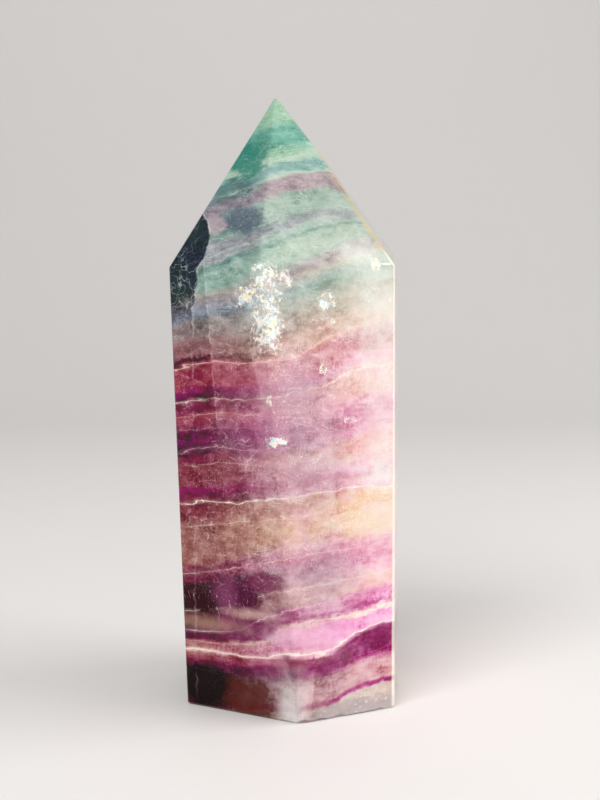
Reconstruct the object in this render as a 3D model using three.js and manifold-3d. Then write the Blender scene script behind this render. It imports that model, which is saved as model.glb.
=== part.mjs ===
// Rainbow fluorite tower: one free-standing stone, cut and polished as a six-sided
// prism with a six-sided point. It is a single natural piece, so it is one mesh.
// Millimetres, +Z up, origin on the resting face under the middle of the stone.

import * as THREE from 'three';
import { ConvexGeometry } from 'three/addons/geometries/ConvexGeometry.js';
import { mergeVertices } from 'three/addons/utils/BufferGeometryUtils.js';
import Module from 'manifold-3d';

// ---- driving dimensions ----

const HEIGHT = 121; // resting face to tip
const TIP = new THREE.Vector3(-2.5, -0.3, HEIGHT); // hand cutting left it off centre
const TIP_FLAT = 0.35; // the tip is blunted this far down

// A face is given by the way it faces (turn, degrees round Z from +X), how far it
// looks up (rise, degrees, so a face that looks down a little has a negative one) and
// its distance from the origin (reach).
const SIDES = [
  { name: 'front left', turn: 242, rise: -2.5, reach: 19.15 },
  { name: 'front right', turn: 297, rise: 2.0, reach: 21.55 },
  { name: 'right', turn: 354.4, rise: 0.45, reach: 22.4 },
  { name: 'back right', turn: 57, rise: 0.6, reach: 20.95 },
  { name: 'back left', turn: 121, rise: -0.5, reach: 18.75 },
  { name: 'left', turn: 182, rise: -1.75, reach: 20.45 },
];

// These faces all run up to the tip, so they need no reach of their own.
const POINT_FACES = [
  { name: 'point front left', turn: 241.2, rise: 32.9 },
  { name: 'point front right', turn: 296.9, rise: 30.3 },
  { name: 'point upper right', turn: 0, rise: 38 },
  { name: 'point back right', turn: 57, rise: 33 },
  { name: 'point back left', turn: 121, rise: 33 },
  { name: 'point left', turn: 182, rise: 31.4 },
];

// The right of the point was ground twice: this steeper face starts below the tip.
const SECOND_GRIND = { name: 'point lower right', turn: 352, rise: 34.8, reach: 68.1 };

const EDGE_WIDTH = 0.4; // flat that polishing left along every edge
const BASE_EDGE_WIDTH = 0.7; // the edge round the resting face is taken off a little more

// Small shell-shaped chips out of the edge round the resting face. Each is the bite of
// an ellipsoid whose middle is on the edge from one corner (0) to the next (1) of a side.
const CHIPS = [
  { side: 'front right', along: 0.03, out: 0.9, half: [2.6, 1.8, 1.7], turn: 20 },
  { side: 'front right', along: 0.2, out: 1.0, half: [3.0, 1.7, 1.5], turn: 35 },
  { side: 'front right', along: 0.42, out: 1.1, half: [2.7, 1.6, 1.9], turn: 22 },
  { side: 'front right', along: 0.64, out: 1.0, half: [2.0, 1.5, 1.3], turn: 30 },
  { side: 'front right', along: 0.86, out: 1.1, half: [2.4, 1.6, 1.7], turn: 15 },
  { side: 'front left', along: 0.9, out: 1.0, half: [2.2, 1.5, 1.3], turn: -30 },
  { side: 'front left', along: 0.55, out: 1.0, half: [1.7, 1.3, 1.1], turn: -25 },
  { side: 'right', along: 0.45, out: 1.0, half: [2.2, 1.4, 1.3], turn: 80 },
  { side: 'back left', along: 0.3, out: 1.0, half: [2.1, 1.4, 1.2], turn: 30 },
  { side: 'left', along: 0.7, out: 1.0, half: [1.8, 1.4, 1.2], turn: 95 },
];
const CHIP_DETAIL = 3; // subdivisions of the icosahedron that each bite is taken with

const MERGE = 1e-4; // points nearer than this are one point

// ---- faces ----

function direction(turn, rise) {
  const around = THREE.MathUtils.degToRad(turn);
  const up = THREE.MathUtils.degToRad(rise);
  return new THREE.Vector3(
    Math.cos(around) * Math.cos(up),
    Math.sin(around) * Math.cos(up),
    Math.sin(up),
  );
}

// A cut face keeps everything at or below its reach along its normal.
function cutFace({ name, turn, rise, reach }) {
  return { name, normal: direction(turn, rise), reach };
}

function faceThrough({ name, turn, rise }, point) {
  const normal = direction(turn, rise);
  return { name, normal, reach: normal.dot(point) };
}

function keeps(face, point) {
  return face.normal.dot(point) <= face.reach + MERGE;
}

// ---- corners and edges of the solid that a set of faces leaves ----

function meetingPoint(a, b, c) {
  const bc = new THREE.Vector3().crossVectors(b.normal, c.normal);
  const volume = a.normal.dot(bc);
  if (Math.abs(volume) < 1e-7) return null;
  const ca = new THREE.Vector3().crossVectors(c.normal, a.normal);
  const ab = new THREE.Vector3().crossVectors(a.normal, b.normal);
  return bc.multiplyScalar(a.reach)
    .addScaledVector(ca, b.reach)
    .addScaledVector(ab, c.reach)
    .divideScalar(volume);
}

function corners(faces) {
  const found = [];
  for (let i = 0; i < faces.length; i += 1) {
    for (let j = i + 1; j < faces.length; j += 1) {
      for (let k = j + 1; k < faces.length; k += 1) {
        const point = meetingPoint(faces[i], faces[j], faces[k]);
        if (point && faces.every((face) => keeps(face, point))) {
          const known = found.find((corner) => corner.distanceTo(point) < MERGE);
          if (!known) found.push(point);
        }
      }
    }
  }
  return found;
}

function liesOn(face, point) {
  return Math.abs(face.normal.dot(point) - face.reach) < MERGE * 2;
}

// The two ends of the edge between two faces, or null if they don't share one.
function edgeBetween(a, b, points) {
  const shared = points.filter((point) => liesOn(a, point) && liesOn(b, point));
  return shared.length === 2 ? shared : null;
}

// The narrow flat that polishing leaves along the edge between two faces.
function polishedEdge(a, b, end, width) {
  const normal = a.normal.clone().add(b.normal).normalize();
  const halfTurn = a.normal.angleTo(b.normal) / 2;
  const depth = (width / 2) * Math.tan(halfTurn);
  return { name: `${a.name} edge`, normal, reach: normal.dot(end) - depth };
}

function polishedEdges(faces, points) {
  const flats = [];
  faces.forEach((a, index) => {
    faces.slice(index + 1).forEach((b) => {
      const ends = edgeBetween(a, b, points);
      if (ends) {
        const meetsBase = a.name === 'base' || b.name === 'base';
        flats.push(polishedEdge(a, b, ends[0], meetsBase ? BASE_EDGE_WIDTH : EDGE_WIDTH));
      }
    });
  });
  return flats;
}

// ---- the cut stone ----

const base = { name: 'base', normal: new THREE.Vector3(0, 0, -1), reach: 0 };
const blunting = { name: 'tip', normal: new THREE.Vector3(0, 0, 1), reach: HEIGHT - TIP_FLAT };
const sides = SIDES.map(cutFace);
const pointFaces = POINT_FACES.map((face) => faceThrough(face, TIP));
const mainFaces = [base, ...sides, ...pointFaces, cutFace(SECOND_GRIND)];
const sharpCorners = corners(mainFaces);
const allFaces = [...mainFaces, ...polishedEdges(mainFaces, sharpCorners), blunting];

function cutStone() {
  return new ConvexGeometry(corners(allFaces));
}

// ---- chips ----

// The corners of the resting face, in order round the stone, start of each side first.
function baseEdge(side) {
  const [start, end] = edgeBetween(base, side, sharpCorners);
  const middle = new THREE.Vector3().addVectors(start, end).multiplyScalar(0.5);
  const along = new THREE.Vector3(-side.normal.y, side.normal.x, 0);
  const inOrder = along.dot(start) < along.dot(middle);
  return inOrder ? [start, end] : [end, start];
}

function chipBite({ side, along, out, half, turn }) {
  const face = sides.find((candidate) => candidate.name === side);
  const [start, end] = baseEdge(face);
  const outward = new THREE.Vector3(face.normal.x, face.normal.y, -1).normalize();
  const place = new THREE.Vector3().lerpVectors(start, end, along);
  const bite = new THREE.IcosahedronGeometry(1, CHIP_DETAIL);
  bite.scale(...half);
  bite.rotateZ(THREE.MathUtils.degToRad(turn));
  bite.translate(...place.addScaledVector(outward, out));
  return bite;
}

// ---- joining and cutting ----

const wasm = await Module();
wasm.setup();

function toSolid(geometry) {
  const bare = geometry.clone();
  bare.deleteAttribute('normal');
  bare.deleteAttribute('uv');
  const welded = mergeVertices(bare, MERGE);
  return new wasm.Manifold(new wasm.Mesh({
    numProp: 3,
    vertProperties: new Float32Array(welded.attributes.position.array),
    triVerts: new Uint32Array(welded.index.array),
  }));
}

function toGeometry(solid) {
  const mesh = solid.getMesh();
  const geometry = new THREE.BufferGeometry();
  geometry.setAttribute('position', new THREE.BufferAttribute(mesh.vertProperties, 3));
  geometry.setIndex(new THREE.BufferAttribute(mesh.triVerts, 1));
  geometry.computeVertexNormals();
  return geometry;
}

function chippedStone() {
  return CHIPS.reduce(
    (stone, chip) => stone.subtract(toSolid(chipBite(chip))),
    toSolid(cutStone()),
  );
}

// The origin goes under the middle of the stone's own box.
function centred(geometry) {
  geometry.computeBoundingBox();
  const middle = geometry.boundingBox.getCenter(new THREE.Vector3());
  return geometry.translate(-middle.x, -middle.y, -geometry.boundingBox.min.z);
}

// ---- the part ----

const fluorite = new THREE.MeshStandardMaterial({
  name: 'fluorite',
  color: 0x9c7f9a,
  roughness: 0.08,
  metalness: 0,
});

function fluoriteTower() {
  const stone = new THREE.Mesh(centred(toGeometry(chippedStone())), fluorite);
  stone.name = 'fluorite_tower';
  return stone;
}

const tower = new THREE.Group();
tower.add(fluoriteTower());

export default tower;
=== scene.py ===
import math
import random

import bpy
from mathutils import Matrix, Vector, noise


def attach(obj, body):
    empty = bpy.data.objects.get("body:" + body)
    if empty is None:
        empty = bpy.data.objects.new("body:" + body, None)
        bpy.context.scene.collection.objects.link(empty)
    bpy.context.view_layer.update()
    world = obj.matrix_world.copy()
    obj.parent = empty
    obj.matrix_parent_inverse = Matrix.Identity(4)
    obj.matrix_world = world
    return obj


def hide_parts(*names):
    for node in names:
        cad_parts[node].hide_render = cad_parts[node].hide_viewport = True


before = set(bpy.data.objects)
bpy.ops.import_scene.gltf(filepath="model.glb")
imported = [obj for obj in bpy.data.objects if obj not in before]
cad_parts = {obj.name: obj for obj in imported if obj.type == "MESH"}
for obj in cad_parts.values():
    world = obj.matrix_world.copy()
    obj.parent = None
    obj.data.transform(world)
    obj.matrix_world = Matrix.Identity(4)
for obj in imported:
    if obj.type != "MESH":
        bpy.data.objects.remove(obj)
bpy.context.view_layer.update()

# A polished tower of banded fluorite. The scene is in metres. The stone is described in
# millimetres, which MM turns into metres, and the studio in metres.

MM = 0.001
CAD_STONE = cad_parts["fluorite_tower"]

# ---- camera ----

EYE = Vector((2.4, -264.3, 88.0)) * MM
LOOKS_DOWN = math.radians(6)
LENS = 58.5

# ---- studio ----

FLOOR_HALF = 1.4
BACKDROP_BEHIND = 0.9
BACKDROP_HEIGHT = 1.6
COVE = 0.45
NEAR = 0.001  # places nearer than this are at the same place
STONE_MIDDLE = Vector((0, 0, 0.06))

# Each lamp: its name, place, size, power and tint.
LAMPS = (
    ("front softbox", (-0.34, -0.68, 0.75), (0.7, 0.5), 8.6, (1.0, 0.98, 0.96)),
    ("right window", (0.6, -0.05, 0.35), (0.5, 0.5), 3.0, (1.0, 0.97, 0.94)),
)

# ---- layers of the stone ----

# Heights at which the lie of the layers is known, and how far each layer has risen
# above its height at the left corner, at these distances from the middle.
ACROSS = (-24, -14, -5, 0, 8, 14, 22)
LAYER_RISE = {
    5: (0.3, 0.5, 0.9, 1.5, 2.4, 4.9, 6.2),
    12.5: (0.3, 0.5, 0.5, 1.2, 1.3, 3.2, 5.2),
    15.5: (0.2, 0.6, 1.8, 2.9, 2.9, 4.6, 6.2),
    19.5: (0, 1.3, 4.2, 5.4, 6.1, 6.4, 7.4),
    24: (0, 1.6, 4.9, 6.4, 7.6, 8.6, 10.2),
    42: (0, 1.2, 2.1, 2.9, 4.1, 4.3, 4.2),
    52: (0, 1.2, 1.4, 2.0, 2.4, 3.6, 5.6),
    68: (0, 1.7, 1.6, 2.2, 5.6, 7.6, 8.4),
    94: (0, 2.6, 5.4, 7.2, 10.0, 12.2, 14.8),
    103: (0, 2.6, 5.4, 7.6, 8.6, 5.0, 2.0),
}
MOST_RISE = 15.0
DIPS_BACK = 0.08  # the layers sink this much for each unit towards the back

PALETTE = {
    "frost mint": "B2D6BC",
    "pale mint": "C6DCCC",
    "emerald": "3A9F8C",
    "sea green": "78BEAC",
    "teal": "74A4A2",
    "steel teal": "4E848C",
    "lens blue": "96BEBA",
    "cream mint": "D6E4D0",
    "rose lilac": "C4ACB6",
    "mauve grey": "9C8EA2",
    "lilac grey": "A8A4B2",
    "mint grey": "8EB0A8",
    "sage": "B2C6BA",
    "light sage": "C2D0C2",
    "moss": "64908A",
    "blue grey": "8A96AC",
    "beige grey": "B4A8A0",
    "warm beige": "D8CCBC",
    "peach cream": "F2DACA",
    "dusty rose": "B46878",
    "magenta": "9C2E6C",
    "plum": "6C1042",
    "dark plum": "4C0C30",
    "smoke mauve": "944460",
    "orchid": "CC6AA4",
    "light orchid": "E08CC0",
    "petal": "F0B4D4",
    "blush": "F6CEDA",
    "rose pink": "E696B8",
    "rose cream": "F2CCC2",
    "maroon": "2C040C",
    "mauve beige": "A08C8E",
    "dusk rose": "A07278",
    "tan rose": "BE8A8A",
    "orchid mist": "C45CA0",
    "mauve haze": "B690A6",
    "wine mauve": "9A5460",
    "rose mist": "E6B6BC",
    "light petal": "ECB4CC",
    "pale rose": "F4D8D4",
    "wine": "761640",
    "tan": "BE9680",
    "taupe": "AE7E7A",
    "cream": "F6DEC8",
    "ivory": "FFF8EC",
    "dusty lilac": "E4BEC4",
    "black wine": "120204",
    "brown wine": "561A12",
    "shell grey": "E4D6D0",
    "milk": "D4B2B8",
    "frost": "AEC2B8",
    "haze grey": "BCAAB6",
    "inky teal": "08262C",
    "navy": "1A2840",
    "plum slate": "56607A",
    "old gold": "D8C69C",
    "plum pink": "B0568A",
    "pink glow": "F8C2E4",
    "white glow": "F2F6F2",
    "glassy grey": "C2B8BC",
}

# Each layer: its height at the left corner, its colour painted in shade where the stone is deep and
# dark (left) and its colour painted lit where light floods it (right).
LAYERS = (
    (121.0, "frost mint", "frost mint"),
    (111.5, "frost mint", "frost mint"),
    (109.0, "sea green", "frost mint"),
    (107.0, "emerald", "sea green"),
    (103.5, "emerald", "sea green"),
    (102.3, "sea green", "frost mint"),
    (101.0, "pale mint", "pale mint"),
    (100.2, "sea green", "pale mint"),
    (99.2, "steel teal", "lens blue"),
    (97.8, "steel teal", "lens blue"),
    (97.0, "steel teal", "pale mint"),
    (96.2, "steel teal", "rose lilac"),
    (95.0, "mauve grey", "rose lilac"),
    (93.6, "mauve grey", "rose lilac"),
    (92.5, "teal", "sage"),
    (91.0, "mint grey", "sage"),
    (89.0, "mint grey", "sage"),
    (87.4, "lilac grey", "lilac grey"),
    (85.2, "lilac grey", "sage"),
    (84.3, "moss", "mint grey"),
    (83.4, "mint grey", "light sage"),
    (80.5, "mint grey", "light sage"),
    (78.6, "beige grey", "rose lilac"),
    (77.2, "mauve grey", "warm beige"),
    (75.6, "blue grey", "sage"),
    (74.0, "mauve beige", "light sage"),
    (71.6, "mauve beige", "warm beige"),
    (69.8, "dusk rose", "warm beige"),
    (68.4, "dusk rose", "peach cream"),
    (67.6, "dusk rose", "peach cream"),
    (67.2, "wine", "peach cream"),
    (66.6, "wine", "peach cream"),
    (66.3, "dusty rose", "peach cream"),
    (64.8, "dusty rose", "rose mist"),
    (63.4, "dusty rose", "rose mist"),
    (62.4, "dusty rose", "rose mist"),
    (61.2, "magenta", "blush"),
    (60.2, "plum", "blush"),
    (59.4, "smoke mauve", "pale rose"),
    (57.8, "smoke mauve", "pale rose"),
    (56.0, "dusty rose", "pale rose"),
    (54.6, "smoke mauve", "blush"),
    (53.4, "plum", "light petal"),
    (51.4, "plum", "light petal"),
    (49.8, "dark plum", "blush"),
    (48.6, "smoke mauve", "rose cream"),
    (46.4, "wine mauve", "pale rose"),
    (44.4, "wine mauve", "blush"),
    (43.0, "wine mauve", "light petal"),
    (41.8, "magenta", "rose mist"),
    (40.8, "wine", "blush"),
    (39.6, "wine mauve", "blush"),
    (39.2, "wine mauve", "cream"),
    (37.0, "wine mauve", "cream"),
    (35.0, "taupe", "cream"),
    (30.6, "taupe", "cream"),
    (28.0, "taupe", "pale rose"),
    (26.2, "smoke mauve", "light petal"),
    (24.2, "smoke mauve", "light petal"),
    (23.2, "maroon", "light petal"),
    (19.2, "maroon", "blush"),
    (18.2, "wine", "pale rose"),
    (16.2, "wine", "pale rose"),
    (15.0, "plum", "pale rose"),
    (13.9, "plum", "petal"),
    (13.2, "plum", "petal"),
    (12.6, "wine", "light orchid"),
    (12.2, "dusty rose", "ivory"),
    (11.7, "tan rose", "pink glow"),
    (10.6, "tan rose", "pink glow"),
    (10.2, "rose cream", "pink glow"),
    (9.7, "tan rose", "plum pink"),
    (8.6, "dusty rose", "plum pink"),
    (7.6, "plum", "plum pink"),
    (6.4, "black wine", "orchid"),
    (4.6, "black wine", "dusty lilac"),
    (1.8, "black wine", "dusty lilac"),
    (0.2, "brown wine", "dusty lilac"),
    (-0.3, "brown wine", "orchid"),
    (-0.8, "brown wine", "orchid"),
    (-1.3, "brown wine", "shell grey"),
    (-6.0, "brown wine", "shell grey"),
)

# Thin bright seams between layers: height, half thickness, colour, strength and how
# whole they are.
SEAMS = (
    (103.2, 0.12, "cream mint", 0.5, 0.2),
    (100.6, 0.2, "cream mint", 0.6, 0.5),
    (96.9, 0.16, "cream mint", 0.5, 0.2),
    (90.4, 0.08, "cream mint", 0.5, 0.0),
    (88.6, 0.08, "light sage", 0.6, 0.0),
    (86.2, 0.1, "cream mint", 0.5, 0.1),
    (66.0, 0.13, "rose cream", 0.85, 0.7),
    (59.3, 0.1, "ivory", 0.75, 0.3),
    (56.6, 0.09, "rose cream", 0.6, 0.1),
    (54.0, 0.1, "rose pink", 0.5, 0.0),
    (50.0, 0.12, "rose pink", 0.85, 0.6),
    (47.2, 0.09, "rose cream", 0.5, 0.0),
    (39.5, 0.11, "ivory", 0.95, 0.9),
    (35.2, 0.12, "rose cream", 0.6, 0.2),
    (25.6, 0.18, "rose cream", 0.55, 0.2),
    (18.2, 0.14, "ivory", 0.6, 0.3),
    (14.2, 0.11, "petal", 0.8, 0.8),
    (12.1, 0.1, "ivory", 0.3, 0.3),
    (10.2, 0.13, "ivory", 0.9, 0.8),
)

# How far the layers wander: size of the swing across and up, and how far it goes.
WANDER = (
    ((14, 14, 9), 0.9),
    ((5, 5, 4), 0.9),
    ((7, 7, 1.1), 0.8),
    ((1.3, 1.3, 1.0), 0.25),
)
COLUMN_SIZE = (2.2, 2.2, 14)  # upright columns, each of which steps the layers a little
COLUMN_STEP = 0.22
COMB_SIZE = (0.7, 0.7, 7)  # finer upright fibres, which make a boundary a comb
COMB_STEP = 0.7
COMB_LEAN = (0, 6, 0)
RAMP_LAYERS = 30  # how many layers' colours one ramp holds

# ---- what lies in the layers ----

# Patches that differ from their layer: what each is, its middle, half size, colour,
# strength and clearness.
PATCHES = (
    ("slate patch", (-8.4, -15, 96.0), (4.4, 6, 2.4), "plum slate", 0.8, 0.4),
    ("pink spot", (-14.3, -12.7, 95.3), (2.6, 5, 2), "rose lilac", 0.7, 0.3),
    ("emerald depth", (-7.6, -6, 107.6), (3.4, 5, 3.8), "emerald", 0.85, 0.5),
    ("maroon block", (-17.5, -14, 22.2), (7.5, 9, 2.9), "maroon", 1.0, 0.0),
    ("purple middle", (-9.8, -17.5, 24.5), (5.2, 8, 3.6), "dark plum", 1.0, 0.0),
    ("purple end", (-4.4, -21, 27.2), (3.2, 7, 2.5), "plum", 0.85, 0.0),
    ("purple wedge", (-8.5, -19, 17.6), (5.5, 8, 2.1), "plum", 0.75, 0.1),
    ("black foot", (-17.5, -14, 4.5), (9, 9, 3.8), "black wine", 1.0, 0.0),
    ("brown foot", (-7, -19, 3), (5.5, 7, 5), "brown wine", 0.9, 0.0),
    ("creamy right", (17, -14, 38), (6, 8, 3), "cream", 0.6, 0.2),
    ("glassy foot", (15, -17, 0.2), (12, 8, 2.8), "glassy grey", 0.7, 0.3),
)

# Places with soft edges: middle, half size, colour and strength. Those in white glow and pink glow are
# painted glow where light floods the stone.
HAZES = (
    ((-16.5, -13.7, 17.5), (7, 7, 1.2), "tan", 0.6),
    ((-11.8, -16, 22.6), (1.8, 6, 4.5), "plum pink", 0.35),
    ((-7, -19, 20.6), (4.5, 6, 0.8), "rose cream", 0.5),
    ((3.5, -21, 16.9), (6.5, 6, 1.7), "pink glow", 0.6),
    ((-5.5, -20, 57), (5, 7, 8), "orchid mist", 0.3),
    ((1.5, -20, 63), (5, 7, 6), "mauve haze", 0.5),
    ((4, -20, 50), (7, 7, 7), "haze grey", 0.45),
    ((7, -18, 28), (5.5, 7, 6), "haze grey", 0.4),
    ((11, -12, 93), (12, 10, 6), "light sage", 0.25),
    ((13.5, -14, 89.5), (3, 5, 3), "white glow", 0.45),
    ((18, -12, 80), (6, 6, 9), "white glow", 0.45),
    ((18, -12, 47.5), (3.4, 5, 2.4), "white glow", 0.6),
    ((19, -12, 60), (4.5, 6, 22), "white glow", 0.45),
    ((0.8, -22, 3), (2.2, 5, 5), "white glow", 0.6),
    ((-3.5, -22, 78), (5, 5, 9), "white glow", 0.1),
)

# Slivers and chips in one direction, painted as bright glints: middle, half size, sliver size, turn,
# strength.
SHARDS = (
    ((-9, -10, 104), (6, 9, 6), (0.25, 0.25, 3.0), (0, 55, 0), 0.5),
    ((6, -12, 91), (14, 10, 7), (0.22, 0.22, 1.0), (0, 64, 0), 0.7),
    ((14, -17, 1.0), (12, 8, 3.4), (0.5, 0.5, 4.0), (0, 70, 0), 1.0),
    ((-14, -16, 22.6), (8, 9, 3.6), (0.22, 0.22, 3.2), (0, -20, 0), 0.75),
    ((-1, -21, 31), (6, 7, 4), (0.25, 0.25, 2.4), (0, -32, 0), 0.7),
    ((4, -20, 22), (6, 6, 2.2), (0.4, 0.4, 2.6), (0, 58, 0), 0.8),
    ((5, -19, 62), (6, 7, 6), (0.18, 0.18, 2.0), (0, 38, 0), 0.7),
    ((-6, -19, 46), (8, 8, 6), (0.22, 0.22, 2.0), (0, -48, 0), 0.5),
)

# Fine slivers all through the stone, painted as bright glints: size, turn, how few and how whole (the
# two values that a cloud passes in them), and the size of the patches they gather in.
SLIVERS = (
    ((0.2, 0.2, 1.5), (0, 16, 0), 0.66, 0.72, (6, 6, 6)),
    ((0.2, 0.2, 1.9), (0, -32, 0), 0.65, 0.7, (5, 5, 5)),
    ((0.2, 0.2, 1.4), (25, 48, 0), 0.65, 0.7, (5, 5, 5)),
)

# Fine cracks all through the stone: size of their bends, half thickness, strength, turn.
FINE_CRACKS = (
    ((3, 3, 11), 0.008, 0.3, (20, 35, 0)),
    ((2, 2, 7), 0.009, 0.3, (-15, -25, 10)),
    ((7, 7, 1.8), 0.009, 0.4, (0, 8, 0)),
)

# Edges at the back, seen through the stone: each place across the stone at two heights,
# how much deeper the stone looks on its left, and how bright its painted highlight line is.
BACK_EDGES = (
    ((-13.4, 56), (-15.8, 88), 0.18, 0.45),
    ((-4.6, 62), (-7.0, 72), 0.14, 0.1),
    ((-5.2, 22), (-4.4, 34), 0.14, 0.0),
    ((-9.6, 18), (-8.8, 30), 0.2, 0.15),
    ((9.6, 40), (8.4, 56), -0.16, 0.1),
    ((-7.4, 42), (-8.4, 52), 0.16, 0.1),
    ((4.6, 1), (5.2, 9), -0.2, 0.0),
)

# Places where the stone grew in rounded cells: middle and half size.
CELLS = (
    ((-10, -17, 58), (8, 8, 3.4)),
    ((-9, -17, 53.4), (5, 8, 3)),
    ((-16, -14, 37), (6, 8, 3)),
    ((-18, -13, 79), (6, 8, 4)),
)

# The clear dark corner: its edge across the stone at a few heights, the span that the
# edge stays in, and the corner's foot.
CORNER_EDGE = ((72, -18.2), (79, -18.0), (86, -17.0), (93, -14.9), (98, -16.6))
CORNER_SPAN = (-20, -10)
CORNER_FOOT = 76

# The right edge: how far across the stone it is, then as a slope with height and a start,
# how far across it is on the point, and how far back on the prism and on the point.
EDGE_ACROSS = 20.85
POINT_EDGE_ACROSS = (-0.702, 82.2)
EDGE_BACK = (0.043, -13.3)
POINT_EDGE_BACK = (0.31, -36.7)

# Groups of cracks that split light into colours, painted on the stone as bright sparkles and filled with
# rainbow flakes: middle and half size.
SPARKLES = (
    ((-4.3, -22.0, 85.6), (2.2, 5, 2.6)),
    ((-0.3, -22.0, 85.0), (1.1, 5, 1.6)),
    ((-5.4, -22.0, 81.8), (3.8, 5, 2.0)),
    ((-3.6, -22.0, 76.6), (2.6, 5, 4.4)),
    ((7.4, -17.2, 80.9), (1.7, 5, 1.3)),
    ((8.7, -17.2, 77.2), (0.5, 5, 0.5)),
    ((7.0, -17.4, 68.2), (0.8, 5, 1.1)),
    ((12.0, -14.6, 58.0), (1.1, 5, 0.6)),
    ((-3.4, -22.0, 62.6), (0.5, 5, 0.9)),
    ((-2.4, -22.0, 54.8), (1.8, 5, 0.9)),
    ((16.8, -12.2, 87.8), (1.0, 5, 1.2)),
)
SPARKLE_FACING = (0.05, -0.95, 0.3)
CHIP_SIZES = (1.3, 2.6)
# Colours of the split light, mostly white and pale yellow, for the painted sparkles and the rainbow
# flakes.
RAINBOW = ("FFF0A8", "FFFFFF", "FFF4B8", "FFFFFF", "BCE4F8", "FFFBD8", "F8D8E8", "FFFFFF")

# ---- pieces sealed in the stone ----

# Fluorite splits along four planes, at the angles of an octahedron's faces.
CLEAVAGES = (
    (0.10, -0.20, 0.97),
    (0.85, -0.45, -0.28),
    (-0.88, -0.38, -0.27),
    (0.02, 0.96, -0.28),
)
FLAKES = 420
FLAKE_SPAN = ((-23, 23), (-23, 23), (1, 118))
FLAKE_DEPTH = (1.6, 9)
LARGEST_FLAKE = 2.2
FLAKES_PER_SPARKLE = 1.6  # for each square of half width by half height
SPARKLE_DEPTH = (0.3, 1.6)
SPARKLE_SIZE = (0.3, 0.8)
IN_FRONT = -26  # a place in front of the stone, from which a flake is moved back into it

# Torn sheets along seams: height of the layer, and how whole the sheet is.
SHEETS = (
    (96.9, 0.5),
    (84.3, 0.35),
    (66.0, 0.55),
    (50.0, 0.5),
    (25.4, 0.4),
)

# Steep cracks: middle, size, the way they face, spin and how lacy.
VEILS = (
    ((-14.8, -15.5, 84), (30, 8), (-0.9, -0.35, 0.1), 90, 0.16),
    ((-19, -13, 88), (10, 14), (-0.4, -0.9, 0.1), 10, 0.1),
    ((-20, -12, 79), (9, 12), (-0.6, -0.75, -0.1), 40, 0.12),
    ((-11, -16, 60), (9, 30), (-0.85, -0.5, 0.1), 0, 0.12),
    ((-2, -20, 58), (6, 20), (0.5, -0.85, 0.0), 0, 0.14),
    ((6, -15, 47), (7, 16), (0.3, -0.9, 0.2), 8, 0.13),
    ((12, -11, 66), (10, 14), (0.6, -0.7, 0.3), -15, 0.11),
    ((-8, -14, 26), (10, 12), (-0.3, -0.9, 0.2), 5, 0.12),
    ((6, -16, 12), (14, 8), (0.2, -0.9, -0.3), 10, 0.13),
    ((0, 8, 60), (14, 26), (0.2, 0.9, 0.2), 15, 0.12),
    ((-12, 6, 40), (12, 20), (-0.8, 0.5, 0.1), -10, 0.12),
    ((12, 6, 30), (12, 20), (0.8, 0.4, 0.1), 10, 0.12),
)

# The sheets and veils are grids of cells, kept clear of the faces. Waves, each a size and
# a height, bend them and choose which cells are there.
SHEET_THICKNESS = 0.05
SHEET_SPAN = (48, 48)
SHEET_CELL = 0.5
SHEET_INSET = 0.6
SHEET_RIPPLE = ((5, 0.7), (1.6, 0.25))
SHEET_TEARS = ((3.1, 1), (0.9, 0.6))
VEIL_CELL = 0.17
VEIL_INSET = 0.3
VEIL_SWELL = ((6, 1.2), (1.7, 0.3))
VEIL_LACE = ((1.7, 1), (0.6, 0.5))
SETTLING_TURNS = 6  # rounds in which the height of a sheet is worked out

# ---- the cut stone ----

LEAST_FACE = 20  # square millimetres: smaller faces are only edge flats and chips
WELD = 0.002  # points nearer than this are one point
FLAT_WITHIN = math.radians(0.6)
# The edge flats carry both a pale rub and a painted highlight.
EDGE_MARK = "edge wear and highlight"
ROUNDING = 0.14  # how far each edge is rounded over
LEAST_EDGE = 3  # shorter edges, and those where faces turn less than this, aren't rounded
LEAST_TURN = math.radians(8)
SMOOTH_WITHIN = math.radians(14)
FLUORITE_IOR = 1.434
CLEAREST = 0.42  # share of the light that goes through the darkest layers
MILKIEST = 0.18  # and through the palest

# Pale things seen through a little stone, and the painted glints on slivers, chips, grains and cracks,
# take its colour raised to one of these powers.
PALE = 0.3
PALER = 0.25


# ---- helpers ----

def linear(hex_colour):
    """Turns a colour written as six hex digits into Blender's linear red, green, blue, alpha."""
    channels = [int(hex_colour[i:i + 2], 16) / 255 for i in (0, 2, 4)]
    return tuple(((c + 0.055) / 1.055) ** 2.4 if c > 0.04 else c / 12.92 for c in channels) + (1,)


def colour(name):
    return linear(PALETTE[name])


def deselect_all():
    if bpy.context.mode != "OBJECT":
        bpy.ops.object.mode_set(mode="OBJECT")
    bpy.ops.object.select_all(action="DESELECT")


def pick(piece):
    deselect_all()
    piece.select_set(True)
    bpy.context.view_layer.objects.active = piece


def select_edges(piece, wanted):
    """Selects the edges whose ends are both wanted."""
    for edge in piece.data.edges:
        edge.select = all(wanted(piece.data.vertices[i].co) for i in edge.vertices)


# ---- nodes ----

def feed(tree, made, sockets):
    """Gives a node's sockets their values, or the outputs that feed them."""
    for key, value in sockets.items():
        if isinstance(value, bpy.types.NodeSocket):
            tree.links.new(value, made.inputs[key])
        else:
            made.inputs[key].default_value = value


def node(tree, kind, sockets, **settings):
    made = tree.nodes.new(kind)
    for name, value in settings.items():
        setattr(made, name, value)
    feed(tree, made, sockets)
    return made


def maths(tree, operation, a, b=0.0, c=0.0, clamp=False):
    made = node(tree, "ShaderNodeMath", {0: a, 1: b, 2: c}, operation=operation, use_clamp=clamp)
    return made.outputs[0]


def times(tree, value, *factors):
    for factor in factors:
        value = maths(tree, "MULTIPLY", value, factor)
    return value


def away(tree, value, middle):
    """How far a value is from the middle, either way."""
    return maths(tree, "ABSOLUTE", maths(tree, "SUBTRACT", value, middle))


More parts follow.
